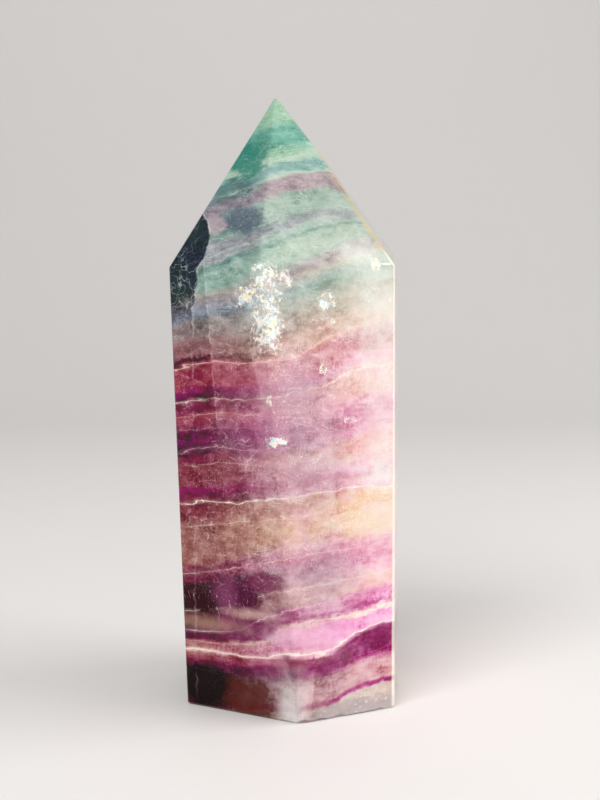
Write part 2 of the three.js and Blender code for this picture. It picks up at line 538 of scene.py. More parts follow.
def steps(tree, value, low, high, out_low=0.0, out_high=1.0, smooth=True):
    """Maps value from low..high to out_low..out_high, held at both ends."""
    kind = "SMOOTHSTEP" if smooth else "LINEAR"
    sockets = {0: value, 1: low, 2: high, 3: out_low, 4: out_high}
    return node(tree, "ShaderNodeMapRange", sockets, interpolation_type=kind).outputs[0]


def over(tree, length, low, high, out_low=0.0, out_high=1.0, smooth=True):
    """The same for a length, with low and high in millimetres."""
    return steps(tree, length, low * MM, high * MM, out_low, out_high, smooth)


def mix_colours(tree, share, a, b):
    return node(tree, "ShaderNodeMix", {0: share, 6: a, 7: b}, data_type="RGBA").outputs[2]


def mix_values(tree, share, a, b):
    return node(tree, "ShaderNodeMix", {0: share, 2: a, 3: b}, data_type="FLOAT").outputs[0]


def scaled(tree, place, size, turn=(0, 0, 0)):
    """The place in units of size, a length in millimetres for each axis of a turned frame."""
    turns = tuple(math.radians(angle) for angle in turn)
    sockets = {"Vector": place, "Rotation": turns, "Scale": tuple(length * MM for length in size)}
    return node(tree, "ShaderNodeMapping", sockets, vector_type="TEXTURE").outputs[0]


def cloud(tree, place, size, detail=3.0, rough=0.55, turn=(0, 0, 0), twist=0.0):
    """Noise from 0 to 1, mostly between 0.3 and 0.7, with lumps about as big as size."""
    sockets = {
        "Vector": scaled(tree, place, size, turn),
        "Scale": 1.0,
        "Detail": detail,
        "Roughness": rough,
        "Distortion": twist,
    }
    return node(tree, "ShaderNodeTexNoise", sockets).outputs["Fac"]


def gathered(tree, place, size, low, high, least=0.0, most=1.0, detail=3.0, rough=0.55):
    """least to most in patches about as big as size, where a cloud goes from low to high."""
    return steps(tree, cloud(tree, place, size, detail, rough), low, high, least, most)


def swing(tree, value, amount):
    """A noise value turned into a swing either way of nothing, amount at the most."""
    return maths(tree, "MULTIPLY_ADD", value, 2 * amount, -amount)


def wobble(tree, place, size, amount, detail=4.0, rough=0.6):
    return swing(tree, cloud(tree, place, size, detail, rough), amount)


def blob(tree, parts, centre, half, ragged, edge=0.3):
    """1 inside an ellipsoid and 0 outside it, with a ragged edge. parts are x, y and z."""
    total = 0.0
    for part, middle, reach in zip(parts, centre, half):
        offset = maths(tree, "MULTIPLY_ADD", part, 1 / (reach * MM), -middle / reach)
        total = maths(tree, "MULTIPLY_ADD", offset, offset, total)
    length = maths(tree, "ADD", maths(tree, "SQRT", total), ragged)
    return steps(tree, length, 1.0 + edge, 1.0 - edge)


def blobs(tree, parts, places, ragged, edge=0.3):
    """1 inside any of some ellipsoids, each a middle and a half size."""
    inside_any = None
    for centre, half in places:
        share = blob(tree, parts, centre, half, ragged, edge)
        inside_any = share if inside_any is None else maths(tree, "MAXIMUM", inside_any, share)
    return inside_any


def colour_ramp(tree, share, stops):
    """A ramp through stops, each a position from 0 to 1 and a colour."""
    ramp = node(tree, "ShaderNodeValToRGB", {0: share})
    elements = ramp.color_ramp.elements
    while len(elements) < len(stops):
        elements.new(0.5)
    for element, (position, shade) in zip(elements, stops):
        element.position = position
        element.color = shade
    return ramp.outputs[0]


def curve_through(tree, value, places):
    """A curve through places, each from 0 to 1 along and from 0 to 1 up."""
    curve = node(tree, "ShaderNodeFloatCurve", {"Value": value})
    points = curve.mapping.curves[0].points
    while len(points) < len(places):
        points.new(0.5, 0.5)
    for point, at in zip(points, places):
        point.location = at
    curve.mapping.update()
    return curve.outputs[0]


def powered(tree, body, power):
    """A colour as it looks through more stone, or through less if power is under 1."""
    return node(tree, "ShaderNodeGamma", {"Color": body, "Gamma": power}).outputs[0]


def new_material(name, view_colour):
    material = bpy.data.materials.new(name)
    material.use_nodes = True
    material.diffuse_color = view_colour
    tree = material.node_tree
    surface = tree.nodes["Principled BSDF"]
    place = tree.nodes.new("ShaderNodeTexCoord").outputs["Object"]
    return material, tree, surface, place


# ---- the layers as nodes ----

def zone_colours(tree, height, side):
    """The layer colours up the stone, on the painted shaded or lit side: ramps of neighbouring layers,
    joined end to end.
    """
    result = None
    layers = sorted((layer[0], layer[side]) for layer in LAYERS)
    for start in range(0, len(layers) - 1, RAMP_LAYERS - 1):
        part = layers[start:start + RAMP_LAYERS]
        low, high = part[0][0], part[-1][0]
        share = over(tree, height, low, high, smooth=False)
        ramp = colour_ramp(tree, share, [((at - low) / (high - low), colour(name)) for at, name in part])
        if result is None:
            result = ramp
        else:
            above = maths(tree, "GREATER_THAN", height, low * MM)
            result = mix_colours(tree, above, result, ramp)
    return result


def layer_rise(tree, across, up):
    """How far the layers have risen, from the curves known at a few heights."""
    position = over(tree, across, ACROSS[0], ACROSS[-1], smooth=False)
    span = ACROSS[-1] - ACROSS[0]
    result = None
    previous = None
    for height, rises in sorted(LAYER_RISE.items()):
        places = [((at - ACROSS[0]) / span, rise / MOST_RISE) for at, rise in zip(ACROSS, rises)]
        curve = curve_through(tree, position, places)
        if result is None:
            result = curve
        else:
            result = mix_values(tree, over(tree, up, previous, height, smooth=False), result, curve)
        previous = height
    return times(tree, result, MOST_RISE * MM)


def layer_height(tree, place, x, y, z):
    """Height of the layer that a point is in: first with its wander only, then with
    the upright fibres and columns that break its boundary into a comb."""
    smooth = maths(tree, "SUBTRACT", z, layer_rise(tree, x, z))
    smooth = maths(tree, "ADD", smooth, times(tree, y, DIPS_BACK))
    calm = over(tree, z, 16, 26, 0.45, 1.0)
    for size, most in WANDER:
        wander = wobble(tree, place, size, most * MM, 2.0, 0.55)
        smooth = maths(tree, "MULTIPLY_ADD", wander, calm, smooth)
    comb = swing(tree, cloud(tree, place, COMB_SIZE, 2.0, turn=COMB_LEAN), COMB_STEP * MM)
    combed = gathered(tree, place, (8, 8, 4), 0.36, 0.6, 0.25, 1.0, 2.0)
    combed = times(tree, combed, over(tree, z, 82, 68, 0.2, 1.0))
    combed = times(tree, combed, over(tree, z, 18, 26, 0.08, 1.0))
    height = maths(tree, "ADD", smooth, times(tree, comb, combed))
    sockets = {"Vector": scaled(tree, place, COLUMN_SIZE), "Scale": 1.0}
    columns = node(tree, "ShaderNodeTexVoronoi", sockets, feature="F1")
    red = node(tree, "ShaderNodeSeparateColor", {0: columns.outputs["Color"]}).outputs[0]
    return smooth, maths(tree, "ADD", height, swing(tree, red, COLUMN_STEP * MM))


def light_across(tree, place, side, x, z):
    """How far light floods the stone, as painted light and shade: shaded, dark and deep on the left, lit
    and bright on the right, and in the point with a sharp change where an edge at the back shows
    through."""
    lit = over(tree, side, -18, 4, 0.0, 0.62)
    lit = maths(tree, "ADD", lit, over(tree, side, 2, 17, 0.0, 0.38))
    ragged = wobble(tree, place, (4, 4, 2.6), 3.4 * MM)
    lit_point = over(tree, maths(tree, "ADD", x, ragged), -7.5, -3, 0.2, 1.0)
    return mix_values(tree, over(tree, z, 82, 94), lit, lit_point)


def layer_colours(tree, place, height, lit, z):
    """The layers, painted shaded on the left and lit on the right, with blushes in the lower half where
    light floods it.
    """
    flood = zone_colours(tree, height, 2)
    washed = gathered(tree, place, (7, 7, 4), 0.48, 0.64, 0.0, 0.6, 4.0, 0.6)
    washed = times(tree, washed, over(tree, z, 74, 66))
    washed = times(tree, washed, over(tree, z, 16, 24))
    flood = mix_colours(tree, washed, flood, colour("blush"))
    return mix_colours(tree, lit, zone_colours(tree, height, 1), flood)


def texture(tree, place, body, size, most, detail=2.0, turn=(0, 0, 0), twist=0.0, where=1.0):
    """Makes the stone shallower and deeper in lumps of a given size. The light crosses
    more or less of it, so its colour is raised to a power up to most."""
    grain = steps(tree, cloud(tree, place, size, detail, 0.6, turn, twist), 0.3, 0.7, smooth=False)
    grain = times(tree, steps(tree, grain, 0.0, 1.0, -0.8, 1.2, smooth=False), where)
    return powered(tree, body, maths(tree, "POWER", most, grain))


def shallow_and_deep(tree, place, parts, height, body):
    """Depth, from coarse to fine, then fibres along the stone and streaks along layers."""
    x, y, z = parts
    fine = gathered(tree, place, (5, 5, 4), 0.42, 0.62, 0.15, 1.0)
    below = times(tree, fine, over(tree, z, 84, 68, 0.1, 1.0))
    body = texture(tree, place, body, (7, 7, 5), 1.4, 3.0, twist=0.6)
    body = texture(tree, place, body, (2.6, 2.6, 1.4), 1.34, 3.0)
    body = texture(tree, place, body, (0.6, 0.6, 0.45), 1.24, where=fine)
    body = texture(tree, place, body, (0.45, 0.45, 4), 1.2, turn=(0, 8, 0), where=below)
    lain = node(tree, "ShaderNodeCombineXYZ", {0: x, 1: y, 2: height}).outputs[0]
    return texture(tree, lain, body, (5, 5, 0.4), 1.3, 3.0, where=fine)


def back_edges(tree, place, x, z, body):
    """Where an edge at the back shows through, the stone looks deeper on one side of it, and a painted
    highlight line runs along it.
    """
    ragged = wobble(tree, place, (2.5, 2.5, 1.6), 0.7 * MM)
    broken = gathered(tree, place, (3, 3, 2.5), 0.4, 0.6)
    for (low_x, low), (high_x, high), change, strength in BACK_EDGES:
        edge = over(tree, z, low, high, low_x * MM, high_x * MM, smooth=False)
        offset = maths(tree, "ADD", maths(tree, "SUBTRACT", x, edge), ragged)
        there = times(tree, over(tree, z, low - 3, low + 1), over(tree, z, high + 2, high - 2))
        reach = over(tree, away(tree, offset, 0.0), 5, 0, smooth=False)
        left = over(tree, offset, 0.15, -0.15, -1.0, 1.0)
        power = times(tree, left, reach, there)
        body = powered(tree, body, maths(tree, "MULTIPLY_ADD", power, change, 1.0))
        line = over(tree, away(tree, offset, 0.0), 0.22, 0.05, 0.0, strength)
        line = times(tree, line, broken, there)
        body = mix_colours(tree, line, body, powered(tree, body, PALE))
    return body


def seams(tree, place, height, body):
    """Bright lines between layers, thinner and thicker along their way, each with a glow."""
    broken = gathered(tree, place, (6, 6, 2.5), 0.32, 0.56)
    thick = gathered(tree, place, (2, 2, 1.5), 0.3, 0.7, 0.3, 1.5)
    for at, half, name, strength, whole in SEAMS:
        offset = away(tree, height, at * MM)
        width = times(tree, thick, half * MM)
        line = steps(tree, maths(tree, "DIVIDE", offset, width), 1.0, 0.4)
        glow = over(tree, offset, 5 * half, 0, 0.0, 0.25)
        line = maths(tree, "MAXIMUM", line, glow)
        there = mix_values(tree, whole, broken, 1.0)
        line = times(tree, line, times(tree, there, strength))
        body = mix_colours(tree, line, body, colour(name))
    return body


# ---- what the stone holds, as nodes ----

def milky_middle(tree, place, side, z, body):
    """Clear where dark, milky where pale, and hazy in the middle."""
    tone = node(tree, "ShaderNodeRGBToBW", {0: body}).outputs[0]
    clear = steps(tree, tone, 0.02, 0.55, CLEAREST, MILKIEST)
    clear = maths(tree, "ADD", clear, over(tree, z, 84, 100, 0.0, 0.12))
    haze = over(tree, away(tree, side, 3 * MM), 11, 2, 0.0, 0.4)
    haze = times(tree, haze, gathered(tree, place, (6, 6, 5), 0.36, 0.62, detail=4.0))
    haze = times(tree, haze, over(tree, z, 84, 70))
    body = mix_colours(tree, haze, body, colour("milk"))
    return body, maths(tree, "SUBTRACT", clear, times(tree, haze, 0.4))


def patches(tree, place, parts, body, clear):
    """Places where the stone is darker, clearer or milkier than its layer, with painted glow and painted
    glints.
    """
    ragged = wobble(tree, place, (2.4, 2.4, 2.4), 0.9, 4.0, 0.65)
    for _, centre, half, name, strength, clearness in PATCHES:
        share = times(tree, blob(tree, parts, centre, half, ragged), strength)
        body = mix_colours(tree, share, body, colour(name))
        clear = mix_values(tree, share, clear, clearness)
    for centre, half, name, strength in HAZES:
        share = times(tree, blob(tree, parts, centre, half, ragged, 0.95), strength)
        body = mix_colours(tree, share, body, colour(name))
        clear = mix_values(tree, share, clear, MILKIEST)
    for centre, half, size, turn, strength in SHARDS:
        share = times(tree, blob(tree, parts, centre, half, ragged, 0.5), strength)
        share = times(tree, share, steps(tree, cloud(tree, place, size, 2.0, 0.6, turn), 0.63, 0.69))
        body = mix_colours(tree, share, body, powered(tree, body, PALER))
    return body, clear


def slivers(tree, place, size, turn, low, high, strength, patch_size):
    """Slivers in one direction, gathered in patches."""
    sliver = steps(tree, cloud(tree, place, size, 2.0, 0.6, turn), low, high)
    where = gathered(tree, place, patch_size, 0.42, 0.62, detail=2.0)
    return times(tree, sliver, times(tree, where, strength))


def cells(tree, place, parts, body):
    """Rounded cells with pale walls, where the stone grew as a crust."""
    wave = cloud(tree, place, (3.4, 3.4, 2.6), 1.0, 0.4)
    line = steps(tree, away(tree, wave, 0.52), 0.02, 0.006)
    where = gathered(tree, place, (3, 3, 3), 0.44, 0.56, detail=2.0)
    ragged = wobble(tree, place, (2.4, 2.4, 2.4), 0.8, 3.0, 0.55)
    there = blobs(tree, parts, CELLS, ragged)
    return mix_colours(tree, times(tree, line, where, there, 0.6), body, powered(tree, body, PALE))


def cracks(tree, place, body, size, half, strength, turn, low=0.42, high=0.58, power=0.25):
    """Healed cracks, which show as fine pale wandering lines: real cracks, painted brighter as glints.
    """
    wave = cloud(tree, place, size, 2.0, 0.45, turn, 0.15)
    line = steps(tree, away(tree, wave, 0.5), half, half * 0.3)
    where = gathered(tree, place, (6, 6, 5), low, high, detail=2.0)
    share = times(tree, line, times(tree, where, strength))
    return mix_colours(tree, share, body, powered(tree, body, power))


def slivers_and_cracks(tree, place, parts, body, clear):
    """Slivers in three directions, rounded cells, sugary grains and fine cracks; the slivers, grains and
    cracks are painted bright as glints.
    """
    z = parts[2]
    sound = over(tree, z, 20, 34, 0.15, 1.0)
    many = times(tree, over(tree, z, 88, 72, 0.25, 1.0), 0.8, sound)
    dulled = None
    for size, turn, low, high, patch_size in SLIVERS:
        share = slivers(tree, place, size, turn, low, high, many, patch_size)
        body = mix_colours(tree, share, body, powered(tree, body, PALE))
        dulled = share if dulled is None else dulled
    body = cells(tree, place, parts, body)
    grains = over(tree, z, 20, 34, 0.1, 0.5)
    sugar = slivers(tree, place, (0.28, 0.28, 0.22), (0, 0, 0), 0.62, 0.7, grains, (5, 5, 2.5))
    body = mix_colours(tree, sugar, body, powered(tree, body, PALE))
    for size, half, strength, turn in FINE_CRACKS:
        body = cracks(tree, place, body, size, half, times(tree, sound, strength), turn)
    clear = maths(tree, "SUBTRACT", clear, times(tree, dulled, 0.5), clamp=True)
    return body, clear


def slope(tree, z, rate, start):
    """A length that grows with height: rate for each unit, from start millimetres."""
    return maths(tree, "MULTIPLY_ADD", z, rate, start * MM)


def edge_wear_and_highlight(tree, place, parts, body):
    """The pale rub and painted highlight on the edges at the right, and the painted thin line of light
    down the right edge, golden along the point."""
    x, y, z = parts
    wear_and_highlight = node(tree, "ShaderNodeAttribute", {}, attribute_name=EDGE_MARK).outputs["Fac"]
    outer = maths(tree, "MINIMUM", slope(tree, z, -0.6, 70.8), 19 * MM)
    outer = over(tree, maths(tree, "SUBTRACT", x, outer), -1, 1)
    outer = times(tree, outer, over(tree, y, 0, -4), 0.95)
    patchy = gathered(tree, place, (3, 3, 3), 0.3, 0.6, 0.3, 1.0)
    wear_and_highlight = times(tree, wear_and_highlight, times(tree, patchy, outer))
    edge_y = maths(tree, "MAXIMUM", slope(tree, z, *EDGE_BACK), slope(tree, z, *POINT_EDGE_BACK))
    edge_x = maths(tree, "MINIMUM", slope(tree, z, *POINT_EDGE_ACROSS), EDGE_ACROSS * MM)
    rim = over(tree, maths(tree, "SUBTRACT", x, edge_x), -0.34, -0.16, 0.0, 0.85)
    rim = times(tree, rim, over(tree, maths(tree, "SUBTRACT", y, edge_y), 0.4, 0))
    rim = times(tree, rim, over(tree, z, 110, 92))
    wear_and_highlight = maths(tree, "MAXIMUM", wear_and_highlight, rim)
    # A painted highlight, ivory low down and golden along the point.
    golden_highlight = mix_colours(tree, over(tree, z, 88, 92), colour("ivory"), colour("old gold"))
    return mix_colours(tree, wear_and_highlight, body, golden_highlight)


def dark_corner(tree, place, parts, body, clear):
    """The corner that is clear right through, a line along its edge, and webs in it."""
    x, y, z = parts
    low, high = CORNER_EDGE[0][0], CORNER_EDGE[-1][0]
    far, near = CORNER_SPAN
    places = [((at - low) / (high - low), (edge - far) / (near - far)) for at, edge in CORNER_EDGE]
    curve = curve_through(tree, over(tree, z, low, high, smooth=False), places)
    edge = maths(tree, "MULTIPLY_ADD", curve, (near - far) * MM, far * MM)
    edge = maths(tree, "ADD", edge, wobble(tree, place, (9, 9, 2.2), 1.1 * MM))
    beyond = maths(tree, "SUBTRACT", edge, x)
    front = over(tree, y, 2, -4)
    share = times(tree, over(tree, beyond, -0.15, 0.3), front)
    foot = maths(tree, "ADD", z, wobble(tree, place, (3, 3, 3), 6 * MM))
    share = times(tree, share, over(tree, foot, CORNER_FOOT, CORNER_FOOT + 6))
    inky = gathered(tree, place, (5, 5, 4), 0.4, 0.62)
    dark = mix_colours(tree, inky, colour("inky teal"), colour("navy"))
    body = mix_colours(tree, times(tree, share, 0.97), body, dark)
    clear = mix_values(tree, share, clear, 0.6)
    line = over(tree, away(tree, beyond, 0.0), 0.3, 0.05)
    line = times(tree, line, gathered(tree, place, (3, 3, 6), 0.4, 0.6))
    line = times(tree, line, over(tree, z, 70, 80, 0.3, 0.8), front)
    body = mix_colours(tree, line, body, powered(tree, body, PALE))
    webs = times(tree, share, over(tree, z, 92, 84, 0.25, 0.95))
    body = cracks(tree, place, body, (3.5, 3.5, 3.5), 0.012, webs, (10, 20, 0), 0.3, 0.45, 0.2)
    body = cracks(tree, place, body, (2.2, 2.2, 2.8), 0.012, webs, (40, 0, 30), 0.4, 0.5, 0.25)
    return body, clear


def rainbow(tree, place, size, low, high, detail):
    """The colours that light splits into, in lumps about as big as size."""
    hue = steps(tree, cloud(tree, place, (size, size, size), detail), low, high, smooth=False)
    last = len(RAINBOW) - 1
    return colour_ramp(tree, hue, [(index / last, linear(code)) for index, code in enumerate(RAINBOW)])


def mosaic(tree, place, parts, body, clear):
    """Cracks just under the face, broken in small chips that split light into colours, painted as bright
    sparkles, with a painted white glow and a lace of finer cracks round them."""
    ragged = wobble(tree, place, (1.2, 1.2, 1.2), 1.5, 4.0, 0.7)
    core = blobs(tree, parts, SPARKLES, ragged, 0.5)
    around = steps(tree, core, 0.05, 0.6)
    core = steps(tree, core, 0.4, 0.6)
    # A painted white glow round the sparkles.
    body = mix_colours(tree, times(tree, around, 0.18), body, colour("white glow"))
    split_light = rainbow(tree, place, 2.2, 0.32, 0.68, 3.0)
    for size in CHIP_SIZES:
        chips = gathered(tree, place, (size, size, size), 0.49, 0.56, rough=0.65)
        share = times(tree, core, chips, 0.82)
        body = mix_colours(tree, share, body, split_light)
        clear = mix_values(tree, share, clear, 0.1)
    wave = cloud(tree, place, (1.1, 1.1, 1.3), 2.0)
    lace = steps(tree, away(tree, wave, 0.5), 0.028, 0.01)
    return mix_colours(tree, times(tree, lace, around, 0.75), body, colour("ivory")), clear


# ---- finishes ----

def fluorite():
    """Banded fluorite, see-through, with veils, flecks and cracks near its surface, and with light,
    shade, glow, glints and sparkles painted into its colour.
    """
    material, tree, surface, place = new_material("banded fluorite", colour("smoke mauve"))
    split = node(tree, "ShaderNodeSeparateXYZ", {0: place})
    parts = x, y, z = split.outputs[0], split.outputs[1], split.outputs[2]
    smooth_height, height = layer_height(tree, place, x, y, z)
    side = maths(tree, "ADD", x, wobble(tree, place, (8, 8, 8), 6 * MM, 3.0, 0.55))
    body = layer_colours(tree, place, height, light_across(tree, place, side, x, z), z)
    body = shallow_and_deep(tree, place, parts, height, body)
    body = back_edges(tree, place, x, z, body)
    body = mix_colours(tree, over(tree, z, 68, 84, 0.0, 0.25), body, colour("frost"))
    # More saturated low down and on the left, the side painted in shade.
    vivid = over(tree, z, 78, 66, 1.06, 1.1)
    vivid = times(tree, vivid, over(tree, side, 6, -6, 1.0, 1.05))
    body = node(tree, "ShaderNodeHueSaturation", {"Saturation": vivid, "Color": body}).outputs[0]
    body = seams(tree, place, smooth_height, body)
    body, clear = milky_middle(tree, place, side, z, body)
    body, clear = patches(tree, place, parts, body, clear)
    body, clear = slivers_and_cracks(tree, place, parts, body, clear)
    body = edge_wear_and_highlight(tree, place, parts, body)
    body, clear = dark_corner(tree, place, parts, body, clear)
    body, clear = mosaic(tree, place, parts, body, clear)
    polish = cloud(tree, place, (7, 7, 7), 2.0)
    bump = node(tree, "ShaderNodeBump", {"Strength": 0.5, "Distance": 0.25 * MM, "Height": polish})
    feed(tree, surface, {
        "Base Color": body,
        "Roughness": gathered(tree, place, (5, 5, 5), 0.35, 0.75, 0.03, 0.1, 4.0),
        "Transmission Weight": clear,
        "IOR": FLUORITE_IOR,
        "Specular IOR Level": 0.16,
        "Subsurface Weight": 0.2,
        "Subsurface Radius": (1.0, 0.75, 0.9),
        "Subsurface Scale": 2.5 * MM,
        "Normal": bump.outputs[0],
    })
    absorb = node(tree, "ShaderNodeVolumeAbsorption", {"Color": (0.86, 0.78, 0.86, 1), "Density": 12.0})
    feed(tree, tree.nodes["Material Output"], {"Volume": absorb.outputs[0]})
    return material


def white_veil():
    """The walls of a healed crack: white, thin and half see-through."""
    material, tree, surface, place = new_material("white veil", colour("ivory"))
    grain = gathered(tree, place, (0.6, 0.6, 0.6), 0.3, 0.7)
    feed(tree, surface, {
        "Base Color": mix_colours(tree, grain, colour("rose cream"), colour("ivory")),
        "Roughness": 0.35,
        "Transmission Weight": 0.7,
        "IOR": FLUORITE_IOR,
    })
    return material


def rainbow_flake():
    """A cleavage crack thin enough to split light into colours."""
    material, tree, surface, place = new_material("rainbow flake", colour("ivory"))
    split_light = rainbow(tree, place, 1.1, 0.3, 0.7, 2.0)
    feed(tree, surface, {"Base Color": split_light, "Metallic": 1.0, "Roughness": 0.16})
    return material


# ---- the lie of the layers, for pieces ----

def between(value, stops, results):
    """Reads a table along straight lines between its stops, held at both ends."""
    value = min(max(value, stops[0]), stops[-1])
    i = next(i for i in range(len(stops) - 1) if value <= stops[i + 1])
    share = (value - stops[i]) / (stops[i + 1] - stops[i])
    return results[i] + share * (results[i + 1] - results[i])


def known_rise(across, height):
    """The same rise of the layers, for a place given in millimetres."""
    heights = sorted(LAYER_RISE)
    rises = [between(across, ACROSS, LAYER_RISE[level]) for level in heights]
    return between(height, heights, rises)


def sheet_height(across, back, layer):
    """Height in millimetres of a layer's sheet at a place on the plan."""
    height = layer
    for _ in range(SETTLING_TURNS):
        height = layer + known_rise(across, height) - DIPS_BACK * back
    return height


# ---- the stone ----

def welded_copy(name):
    """A copy of the cut stone, its triangles merged back into flat faces."""
    copy = bpy.data.objects.new(name, CAD_STONE.data.copy())
    bpy.context.scene.collection.objects.link(copy)
    pick(copy)
    bpy.ops.object.mode_set(mode="EDIT")
    bpy.ops.mesh.select_all(action="SELECT")
    bpy.ops.mesh.remove_doubles(threshold=WELD * MM)
    bpy.ops.mesh.dissolve_limited(angle_limit=FLAT_WITHIN)
    bpy.ops.mesh.select_all(action="DESELECT")
    bpy.ops.mesh.select_mode(type="EDGE")
    bpy.ops.object.mode_set(mode="OBJECT")
    return copy


def cut_faces():
    """The large flat faces of the cut stone, each as a point on it and its outward normal."""
    shell = welded_copy("measure")
    large = [p for p in shell.data.polygons if p.area > LEAST_FACE * MM * MM]
    faces = [(p.center.copy(), p.normal.copy()) for p in large]
    bpy.data.objects.remove(shell)
    return faces


def inside(point, faces, inset):
    """True if a point is in the stone and at least inset below every face."""
    return all((point - at).dot(normal) < -inset for at, normal in faces)


def mark_edges(stone):
    """Marks the narrow flats along the edges, where the polish is rubbed and pale and where a highlight
    is painted.
    """
    mark = stone.data.attributes.new(EDGE_MARK, "FLOAT", "CORNER")
    for polygon in stone.data.polygons:
        if polygon.area < LEAST_FACE * MM * MM:
            for loop in polygon.loop_indices:
                mark.data[loop].value = 1.0


def select_long_edges(stone):
    """Selects the long edges where two faces meet at an angle."""
    mesh = stone.data
    faces_at = {}
    for polygon in mesh.polygons:
        for key in polygon.edge_keys:
            faces_at.setdefault(key, []).append(polygon.normal)
    for edge in mesh.edges:
        a, b = (mesh.vertices[i].co for i in edge.vertices)
        sides = faces_at[edge.key]
        turned = len(sides) == 2 and sides[0].angle(sides[1]) > LEAST_TURN
        edge.select = turned and (a - b).length > LEAST_EDGE * MM


def rounded_stone():
    """The cut stone with its edges rounded over as a polishing wheel leaves them."""
    stone = welded_copy("polished_stone")
    stone.data.materials.clear()
    mark_edges(stone)
    select_long_edges(stone)
    bpy.ops.object.mode_set(mode="EDIT")
    bpy.ops.mesh.bevel(offset=ROUNDING * MM, segments=3, affect="EDGES", clamp_overlap=True)
    bpy.ops.object.mode_set(mode="OBJECT")
    stone.data.materials.append(fluorite())
    bpy.ops.object.shade_smooth_by_angle(angle=SMOOTH_WITHIN)
    weigh = stone.modifiers.new("even light", "WEIGHTED_NORMAL")
    weigh.keep_sharp = True
    bpy.ops.object.modifier_apply(modifier=weigh.name)
    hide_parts("fluorite_tower")
    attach(stone, "root")


# ---- what is sealed in the stone ----

def seal(piece, material):
    """Finishes a piece that is inside the stone."""
    pick(piece)
    bpy.ops.object.transform_apply(location=True, rotation=True, scale=True)
    piece.data.materials.clear()
    piece.data.materials.append(material)
    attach(piece, "root")


def flake_shape(name, rng, corners):
    """A thin broken flake, 1 across and lying flat, to be copied and sized."""
    deselect_all()
    bpy.ops.mesh.primitive_circle_add(vertices=corners, radius=0.5, fill_type="NGON")
    flake = bpy.context.object
    flake.name = name
    for vertex in flake.data.vertices:
        vertex.co *= rng.uniform(0.55, 1.25)
    bpy.ops.object.mode_set(mode="EDIT")
    bpy.ops.mesh.select_all(action="SELECT")
    bpy.ops.mesh.extrude_region_move(TRANSFORM_OT_translate={"value": (0, 0, 0.03)})
    bpy.ops.mesh.select_all(action="SELECT")
    bpy.ops.mesh.normals_make_consistent(inside=False)
    bpy.ops.object.mode_set(mode="OBJECT")
    return flake


def scatter(name, shapes, placings, material):
    """Copies the shapes to their places and joins the copies in one piece."""
    copies = []
    for index, matrix in enumerate(placings):
        shape = shapes[index % len(shapes)]
        copy = bpy.data.objects.new(name, shape.data.copy())
        bpy.context.scene.collection.objects.link(copy)
        copy.matrix_world = matrix
        copies.append(copy)
    deselect_all()
    for copy in copies:
        copy.select_set(True)
    bpy.context.view_layer.objects.active = copies[0]
    bpy.ops.object.join()
    piece = bpy.context.object
    piece.name = name
    seal(piece, material)


def lie_along(normal, spin):
    """A turn that lays a flat shape square to normal, spun round it."""
    flat = Vector(normal).to_track_quat("Z", "Y").to_matrix().to_4x4()
    return flat @ Matrix.Rotation(spin, 4, "Z")


def flake_placing(rng, point, facing, tilt, size, narrowest):
    """The place of a flake: at point, about square to facing, and narrower one way."""
    facing = Vector(facing) + Vector([rng.uniform(-tilt, tilt) for _ in range(3)])
    turn = lie_along(facing, rng.uniform(0, math.tau))
    stretch = Matrix.Diagonal((size, size * rng.uniform(narrowest, 1), size, 1))
    return Matrix.Translation(point) @ turn @ stretch


def cleavage_flakes(faces, rng):
    """Small flat cracks all through the stone, along fluorite's four cleavages."""
    shallowest, deepest = FLAKE_DEPTH
    placings = []
    while len(placings) < FLAKES:
        point = Vector([rng.uniform(*span) for span in FLAKE_SPAN]) * MM
        if inside(point, faces, shallowest * MM) and not inside(point, faces, deepest * MM):
            size = rng.uniform(0.5, 1) ** 3 * LARGEST_FLAKE * MM
            placings.append(flake_placing(rng, point, rng.choice(CLEAVAGES), 0.06, size, 0.35))
    return placings


def sparkle_places(faces, rng):
    """Close groups of flakes just under the faces, all turned about the same way."""
    placings = []
    for centre, half in SPARKLES:
        for _ in range(int(half[0] * half[2] * FLAKES_PER_SPARKLE)):
            offset = [rng.gauss(0, side / 2) for side in half]
            point = Vector((centre[0] + offset[0], IN_FRONT, centre[2] + offset[2])) * MM
            depth = rng.uniform(*SPARKLE_DEPTH) * MM
            while not inside(point, faces, depth):
                point.y += 0.1 * MM
            size = rng.uniform(*SPARKLE_SIZE) * MM
            placings.append(flake_placing(rng, point, SPARKLE_FACING, 0.12, size, 0.4))
    return placings


def torn_sheet(name, size, cell, shape, keep, faces, inset, material):
    """A thin sheet with holes and ragged edges. shape bends it into place, and keep says
    which of its cells are there."""
    deselect_all()
    across, along = (max(2, int(length / cell)) for length in size)
    bpy.ops.mesh.primitive_grid_add(x_subdivisions=across, y_subdivisions=along, size=1)
    sheet = bpy.context.object
    sheet.name = name
    for vertex in sheet.data.vertices:
        vertex.co = shape(vertex.co.x * size[0], vertex.co.y * size[1])
    vertices = sheet.data.vertices
    for part in (*sheet.data.edges, *vertices):
        part.select = False
    for polygon in sheet.data.polygons:
        sealed = all(inside(vertices[i].co, faces, inset) for i in polygon.vertices)
        polygon.select = not (sealed and keep(polygon.center))
        if polygon.select:
            for i in polygon.vertices:
                vertices[i].select = True
    bpy.ops.object.mode_set(mode="EDIT")
    bpy.ops.mesh.select_mode(type="FACE")
    bpy.ops.mesh.delete(type="FACE")
    bpy.ops.mesh.select_mode(type="VERT")
    bpy.ops.mesh.select_all(action="SELECT")
    bpy.ops.mesh.delete_loose()
    bpy.ops.object.mode_set(mode="OBJECT")
    thicken = sheet.modifiers.new("thickness", "SOLIDIFY")
    thicken.thickness = SHEET_THICKNESS * MM
    thicken.offset = 0
    bpy.ops.object.modifier_apply(modifier=thicken.name)
    seal(sheet, material)


def waves(place, seed, sizes):
    """Noise at a place, summed over waves that each have a size and a height."""
    return sum(height * noise.noise(place / size + seed) for size, height in sizes)


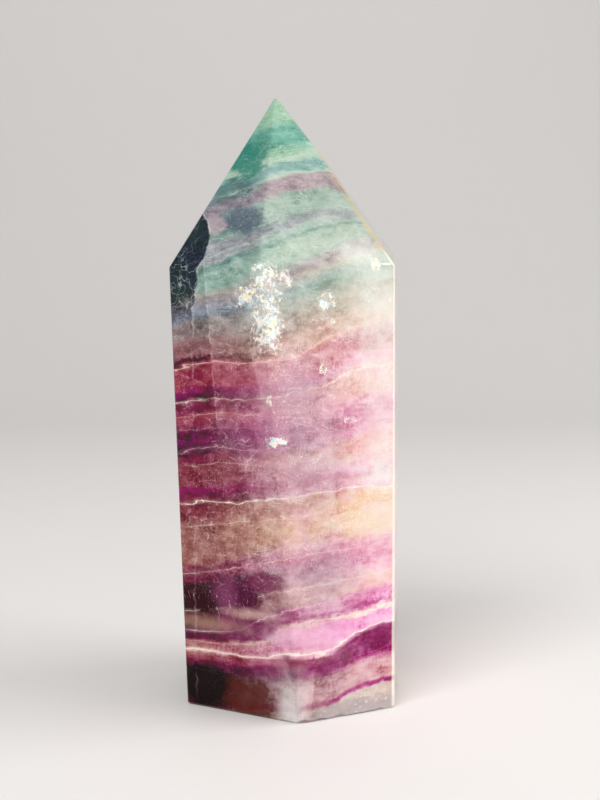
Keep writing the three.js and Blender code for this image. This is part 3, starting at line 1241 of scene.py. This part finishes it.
def layer_sheets(faces, veil):
    """The bright seams run right through the stone as torn sheets."""
    for index, (layer, density) in enumerate(SHEETS):
        seed = Vector((index * 7.3, 0, 0))

        def shape(u, v, layer=layer, seed=seed):
            ripple = waves(Vector((u, v, 0)), seed, SHEET_RIPPLE)
            return Vector((u, v, sheet_height(u, v, layer) + ripple)) * MM

        def keep(point, density=density, seed=seed):
            return waves(point / MM, seed, SHEET_TEARS) > 0.55 - density

        name = f"seam_sheet_{index + 1}"
        torn_sheet(name, SHEET_SPAN, SHEET_CELL, shape, keep, faces, SHEET_INSET * MM, veil)


def crack_veils(faces, veil):
    """Steep cracks, lacy where they have partly healed."""
    for index, (centre, size, normal, spin, lace) in enumerate(VEILS):
        seed = Vector((0, index * 5.7, 0))
        frame_of = Matrix.Translation(Vector(centre) * MM) @ lie_along(normal, math.radians(spin))

        def shape(u, v, frame_of=frame_of, seed=seed, size=size):
            swell = waves(Vector((u, v, 0)), seed, VEIL_SWELL)
            return frame_of @ (Vector((u, v, swell)) * MM)

        def keep(point, centre=centre, size=size, lace=lace, seed=seed):
            place = point / MM
            fade = ((place - Vector(centre)).length / (0.55 * max(size))) ** 2
            return abs(waves(place, seed, VEIL_LACE)) < lace * (1.15 - fade)

        name = f"crack_veil_{index + 1}"
        torn_sheet(name, size, VEIL_CELL, shape, keep, faces, VEIL_INSET * MM, veil)


def fill_stone(faces):
    rng = random.Random(11)
    veil = white_veil()
    shapes = [flake_shape(f"flake_shape_{i}", rng, corners) for i, corners in enumerate((5, 6, 8))]
    scatter("cleavage_flakes", shapes, cleavage_flakes(faces, rng), veil)
    scatter("rainbow_flakes", shapes, sparkle_places(faces, rng), rainbow_flake())
    for shape in shapes:
        bpy.data.objects.remove(shape)
    layer_sheets(faces, veil)
    crack_veils(faces, veil)


# ---- studio ----

def aim_camera():
    deselect_all()
    bpy.ops.object.camera_add(location=EYE, rotation=(math.radians(90) - LOOKS_DOWN, 0, 0))
    camera = bpy.context.object
    camera.data.lens = LENS
    camera.data.clip_start = 0.01
    bpy.context.scene.camera = camera


def lay_floor():
    """A pale floor that sweeps up into a backdrop."""
    deselect_all()
    bpy.ops.mesh.primitive_plane_add(size=2 * FLOOR_HALF, location=(0, BACKDROP_BEHIND - FLOOR_HALF, 0))
    floor = bpy.context.object
    floor.name = "floor"
    bpy.ops.object.mode_set(mode="EDIT")
    bpy.ops.mesh.select_all(action="DESELECT")
    bpy.ops.object.mode_set(mode="OBJECT")
    select_edges(floor, lambda end: end.y > FLOOR_HALF - NEAR)
    bpy.ops.object.mode_set(mode="EDIT")
    bpy.ops.mesh.select_mode(type="EDGE")
    bpy.ops.mesh.extrude_region_move(TRANSFORM_OT_translate={"value": (0, 0, BACKDROP_HEIGHT)})
    bpy.ops.object.mode_set(mode="OBJECT")
    select_edges(floor, lambda end: end.y > FLOOR_HALF - NEAR and end.z < NEAR)
    bpy.ops.object.mode_set(mode="EDIT")
    bpy.ops.mesh.bevel(offset=COVE, segments=16, affect="EDGES")
    bpy.ops.object.mode_set(mode="OBJECT")
    bpy.ops.object.shade_smooth()
    pale = (0.78, 0.77, 0.76, 1)
    material, tree, surface, _ = new_material("pale floor", pale)
    feed(tree, surface, {"Base Color": pale, "Roughness": 0.6})
    floor.data.materials.append(material)


def soft_light(name, place, size, power, tint):
    deselect_all()
    bpy.ops.object.light_add(type="AREA", location=place)
    lamp = bpy.context.object
    lamp.name = name
    lamp.data.shape = "RECTANGLE"
    lamp.data.size, lamp.data.size_y = size
    lamp.data.energy = power
    lamp.data.color = tint
    aim = STONE_MIDDLE - Vector(place)
    lamp.rotation_mode = "QUATERNION"
    lamp.rotation_quaternion = aim.to_track_quat("-Z", "Y")


def light_studio():
    """A pale room, a little brighter on the right, with soft light from the front and a
    window on the right."""
    world = bpy.data.worlds.new("pale room")
    bpy.context.scene.world = world
    world.use_nodes = True
    tree = world.node_tree
    way = tree.nodes.new("ShaderNodeTexCoord").outputs["Generated"]
    across = node(tree, "ShaderNodeSeparateXYZ", {0: way}).outputs[0]
    share = steps(tree, across, -0.6, 0.9)
    room = mix_colours(tree, share, (0.22, 0.23, 0.26, 1), (1.0, 0.97, 0.93, 1))
    feed(tree, tree.nodes["Background"], {"Color": room, "Strength": 0.66})
    for lamp in LAMPS:
        soft_light(*lamp)


aim_camera()
lay_floor()
light_studio()
rounded_stone()
fill_stone(cut_faces())

bpy.context.scene.view_settings.view_transform = "Standard"
